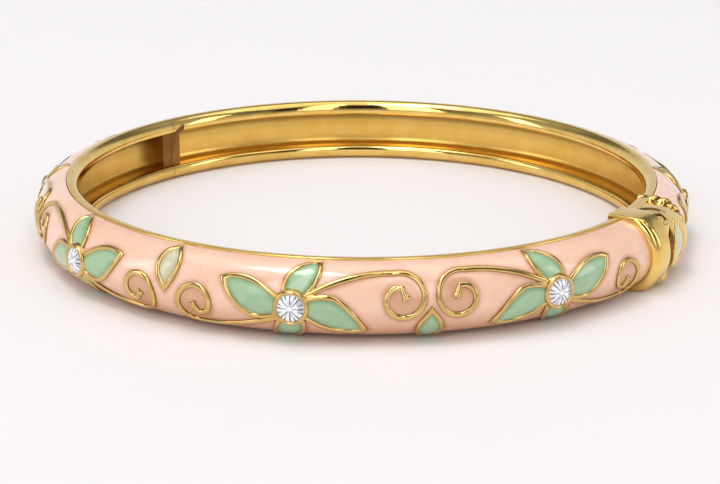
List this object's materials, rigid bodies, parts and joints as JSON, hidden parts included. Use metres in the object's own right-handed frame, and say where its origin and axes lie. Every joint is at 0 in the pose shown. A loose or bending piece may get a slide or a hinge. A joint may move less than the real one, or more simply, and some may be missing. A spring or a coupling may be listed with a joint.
{
  "type": "enamel bangle",
  "caption": "Hinged gilt bangle, hollow at the back, with peach enamel, raised gold scrolls, mint enamel flowers and leaves, and a small clear stone in each flower.",
  "frame": {"origin": "on the bangle's axis, halfway up the band", "axes": "+Z along the bangle's axis, upwards as it lies; the hinge is towards +X and -Y; the front of the picture is -Y"},
  "size_m": [0.0703, 0.0698, 0.0074],
  "materials": {
    "gold": "polished gilt",
    "peach_enamel": "glossy peach enamel",
    "mint_enamel": "glossy mint enamel",
    "pale_enamel": "glossy pale enamel",
    "crystal": "cut and clear"
  },
  "bodies": {
    "root": {"front_casting": "gold", "front_gold_lines": "gold", "front_peach_enamel": "peach_enamel", "hinge_pin": "gold", "clasp_tongue": "gold", "flower_1_petal_1": "mint_enamel", "flower_1_petal_2": "mint_enamel", "flower_1_petal_3": "mint_enamel", "flower_1_petal_4": "mint_enamel", "flower_1_stone": "crystal", "flower_2_petal_1": "mint_enamel", "flower_2_petal_2": "mint_enamel", "flower_2_petal_3": "mint_enamel", "flower_2_petal_4": "mint_enamel", "flower_2_stone": "crystal", "flower_3_petal_1": "mint_enamel", "flower_3_petal_2": "mint_enamel", "flower_3_petal_3": "mint_enamel", "flower_3_petal_4": "mint_enamel", "flower_3_stone": "crystal", "flower_4_petal_1": "mint_enamel", "flower_4_petal_2": "mint_enamel", "flower_4_petal_3": "mint_enamel", "flower_4_petal_4": "mint_enamel", "flower_4_stone": "crystal", "leaf_1": "pale_enamel", "leaf_2": "pale_enamel", "bud_1": "mint_enamel", "bud_2": "mint_enamel"},
    "rear_section": {"rear_casting": "gold", "rear_gold_lines": "gold", "rear_peach_enamel": "peach_enamel", "medallion_enamel": "pale_enamel", "flower_5_petal_1": "mint_enamel", "flower_5_petal_2": "mint_enamel", "flower_5_petal_3": "mint_enamel", "flower_5_petal_4": "mint_enamel", "flower_5_stone": "crystal", "flower_6_petal_1": "mint_enamel", "flower_6_petal_2": "mint_enamel", "flower_6_petal_3": "mint_enamel", "flower_6_petal_4": "mint_enamel", "flower_6_stone": "crystal", "flower_7_petal_1": "mint_enamel", "flower_7_petal_2": "mint_enamel", "flower_7_petal_3": "mint_enamel", "flower_7_petal_4": "mint_enamel", "flower_7_stone": "crystal", "flower_8_petal_1": "mint_enamel", "flower_8_petal_2": "mint_enamel", "flower_8_petal_3": "mint_enamel", "flower_8_petal_4": "mint_enamel", "flower_8_stone": "crystal", "leaf_3": "pale_enamel", "bud_3": "mint_enamel", "bud_4": "mint_enamel"}
  },
  "joints": [
    {"name": "collar_hinge", "type": "hinge", "parent": "root", "child": "rear_section", "pos_m": [0.02936, -0.01695, 0], "axis": [0, 0, -1], "range_deg": [0, 40]}
  ]
}
